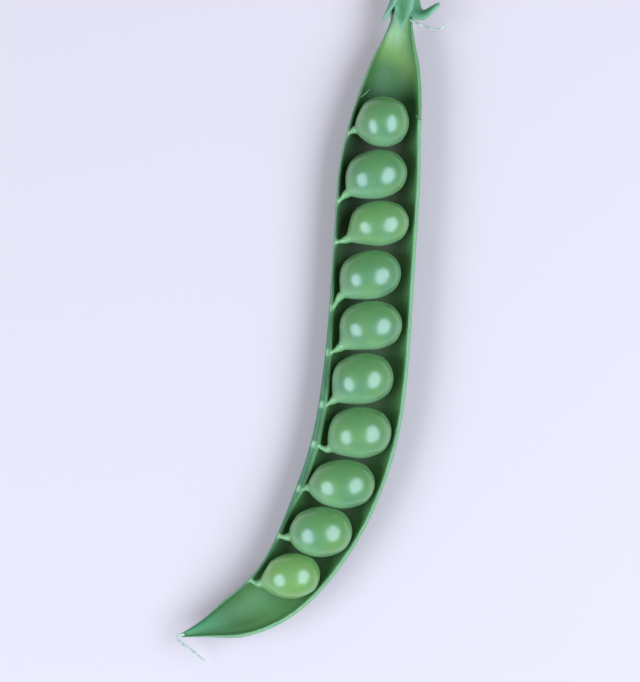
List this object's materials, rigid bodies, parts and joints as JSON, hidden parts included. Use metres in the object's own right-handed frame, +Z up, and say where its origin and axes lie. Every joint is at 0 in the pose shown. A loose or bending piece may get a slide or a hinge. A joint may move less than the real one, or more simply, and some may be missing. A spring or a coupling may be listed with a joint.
{
  "type": "pea pod",
  "caption": "Opened garden pea pod lying on its belly: one curved valve holding its row of round peas on short cords, with calyx, stalk and dried threads.",
  "frame": {"origin": "on the ground below the middle of the whole pod's box", "axes": "+Y along the pod towards its stalk, +X towards its outer, convex seam, +Z up out of the open side"},
  "size_m": [0.0308, 0.1292, 0.0103],
  "materials": {
    "pod_skin": "waxy green skin outside, satin lining inside, pale seams",
    "pea": "smooth glossy skin, slightly translucent, pale at the cord",
    "calyx": "soft leafy green, paler at the margins",
    "stalk": "pale green, satin",
    "dried_thread": "dry, whitish"
  },
  "bodies": {
    "root": {"pod_valve": "pod_skin", "pea_01": "pea", "pea_02": "pea", "pea_03": "pea", "pea_04": "pea", "pea_05": "pea", "pea_06": "pea", "pea_07": "pea", "pea_08": "pea", "pea_09": "pea", "pea_10": "pea", "calyx": "calyx", "stalk": "stalk", "dried_style": "dried_thread", "dried_stamen": "dried_thread"}
  },
  "joints": []
}
